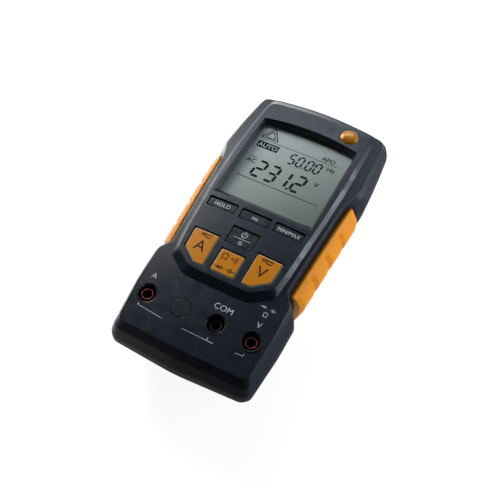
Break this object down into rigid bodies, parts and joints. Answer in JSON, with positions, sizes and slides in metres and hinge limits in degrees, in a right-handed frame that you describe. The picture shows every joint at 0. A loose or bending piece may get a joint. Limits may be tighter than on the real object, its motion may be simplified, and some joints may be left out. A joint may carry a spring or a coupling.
{
  "type": "handheld digital multimeter",
  "caption": "Handheld digital multimeter with display, press keys, test lead sockets, side grips, tilt stand and battery door.",
  "frame": {"origin": "centre of the bounding box at the level of the feet, with the meter lying on its back", "axes": "+X to the right across the front face, +Y along the case towards the display, +Z out of the front face"},
  "size_m": [0.0866, 0.17, 0.045],
  "materials": {
    "case_plastic": "satin, fine texture",
    "grip_rubber": "soft-touch satin",
    "key_orange": "satin",
    "key_dark": "smooth satin",
    "clear_pane": "clear polished",
    "lcd_grey": "reflective grey-green display",
    "diffuser_white": "milky",
    "board_green": "solder mask",
    "silicone_grey": "matte",
    "socket_black": "satin",
    "socket_red": "satin",
    "brass": "bright",
    "steel": "bright plated",
    "ceramic": "glazed ceramic",
    "cell_jacket": "printed steel jacket",
    "chip_black": "matte",
    "badge_bronze": "metallic lacquer",
    "foot_rubber": "matte",
    "shunt_wire": "bare metal strap"
  },
  "bodies": {
    "case": {"front_shell": "case_plastic", "rear_shell": "case_plastic", "socket_blank": "case_plastic", "grip_left": "grip_rubber", "grip_right": "grip_rubber", "screen_window": "clear_pane", "lcd_glass": "lcd_grey", "lcd_backlight": "diffuser_white", "lcd_connector": "silicone_grey", "keypad_mat": "silicone_grey", "main_board": "board_green", "badge": "badge_bronze", "jack_shroud_amps": "socket_black", "jack_shroud_com": "socket_black", "jack_shroud_volts": "socket_black", "jack_collar_com": "socket_black", "jack_collar_amps": "socket_red", "jack_collar_volts": "socket_red", "jack_sleeve_amps": "brass", "jack_sleeve_com": "brass", "jack_sleeve_volts": "brass", "fuse_clip_left": "brass", "fuse_clip_right": "brass", "fuse": "ceramic", "measuring_chip": "chip_black", "buzzer": "chip_black", "current_shunt": "shunt_wire", "battery_cell_1": "cell_jacket", "battery_cell_2": "cell_jacket", "battery_cell_3": "cell_jacket", "battery_spring_1": "steel", "battery_spring_2": "steel", "battery_spring_3": "steel", "contact_plate_1": "steel", "contact_plate_2": "steel", "contact_plate_3": "steel", "contact_plate_4": "steel", "case_screw_upper_left": "steel", "case_screw_upper_right": "steel", "case_screw_lower_left": "steel", "case_screw_lower_right": "steel", "board_screw_left": "steel", "board_screw_right": "steel", "foot_upper_left": "foot_rubber", "foot_upper_right": "foot_rubber", "foot_lower_left": "foot_rubber", "foot_lower_right": "foot_rubber"},
    "stand": {"stand": "case_plastic"},
    "battery_door": {"battery_door": "case_plastic"},
    "door_screw": {"door_screw": "steel"},
    "key_hold": {"key_hold": "key_dark"},
    "key_frequency": {"key_frequency": "key_dark"},
    "key_min_max": {"key_min_max": "key_dark"},
    "key_power": {"key_power": "key_dark"},
    "key_ohms": {"key_ohms": "key_orange"},
    "key_amps": {"key_amps": "key_orange"},
    "key_volts": {"key_volts": "key_orange"}
  },
  "joints": [
    {"name": "key_hold_press", "type": "slide", "parent": "case", "child": "key_hold", "axis": [0, 0, -1], "range_m": [0, 0.0008], "stiffness_N_per_m": 900, "springref_m": -0.001},
    {"name": "key_frequency_press", "type": "slide", "parent": "case", "child": "key_frequency", "axis": [0, 0, -1], "range_m": [0, 0.0008], "stiffness_N_per_m": 900, "springref_m": -0.001},
    {"name": "key_min_max_press", "type": "slide", "parent": "case", "child": "key_min_max", "axis": [0, 0, -1], "range_m": [0, 0.0008], "stiffness_N_per_m": 900, "springref_m": -0.001},
    {"name": "key_power_press", "type": "slide", "parent": "case", "child": "key_power", "axis": [0, 0, -1], "range_m": [0, 0.0008], "stiffness_N_per_m": 900, "springref_m": -0.001},
    {"name": "key_ohms_press", "type": "slide", "parent": "case", "child": "key_ohms", "axis": [0, 0, -1], "range_m": [0, 0.0008], "stiffness_N_per_m": 900, "springref_m": -0.001},
    {"name": "key_amps_press", "type": "slide", "parent": "case", "child": "key_amps", "axis": [0, 0, -1], "range_m": [0, 0.0008], "stiffness_N_per_m": 900, "springref_m": -0.001},
    {"name": "key_volts_press", "type": "slide", "parent": "case", "child": "key_volts", "axis": [0, 0, -1], "range_m": [0, 0.0008], "stiffness_N_per_m": 900, "springref_m": -0.001},
    {"name": "stand_hinge", "type": "hinge", "parent": "case", "child": "stand", "pos_m": [0, 0.022, 0.0035], "axis": [1, 0, 0], "range_deg": [0, 65]},
    {"name": "battery_door_lift", "type": "slide", "parent": "case", "child": "battery_door", "axis": [0, 0, -1], "range_m": [0, 0.06]},
    {"name": "door_screw_turn", "type": "hinge", "parent": "battery_door", "child": "door_screw", "pos_m": [0, -0.0436, 0.00035], "axis": [0, 0, 1], "continuous": true}
  ]
}
